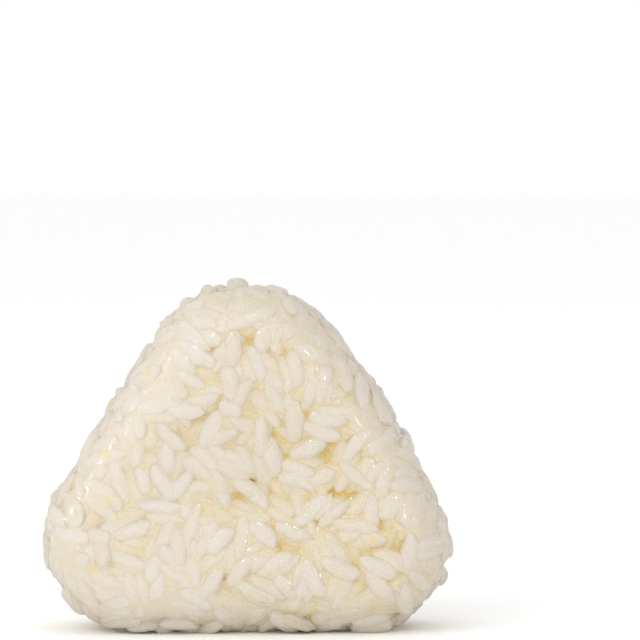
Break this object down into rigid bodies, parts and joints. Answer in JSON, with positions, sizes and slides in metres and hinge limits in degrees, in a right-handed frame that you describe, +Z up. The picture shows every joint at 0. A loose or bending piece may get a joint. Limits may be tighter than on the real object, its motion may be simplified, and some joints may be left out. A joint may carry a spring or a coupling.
{
  "type": "onigiri rice ball",
  "caption": "Triangular ball of plain cooked white rice, softly pressed, with its grains standing out all over and a flat base to stand on.",
  "frame": {"origin": "middle of the flat base that the ball stands on", "axes": "+X to the right along the width, +Y from the front face to the back face, +Z up to the rounded top corner"},
  "size_m": [0.0821, 0.0317, 0.0703],
  "materials": {
    "cooked_rice": "moist cooked white rice, softly glossy and slightly translucent, warm white"
  },
  "bodies": {
    "root": {"rice": "cooked_rice"}
  },
  "joints": []
}
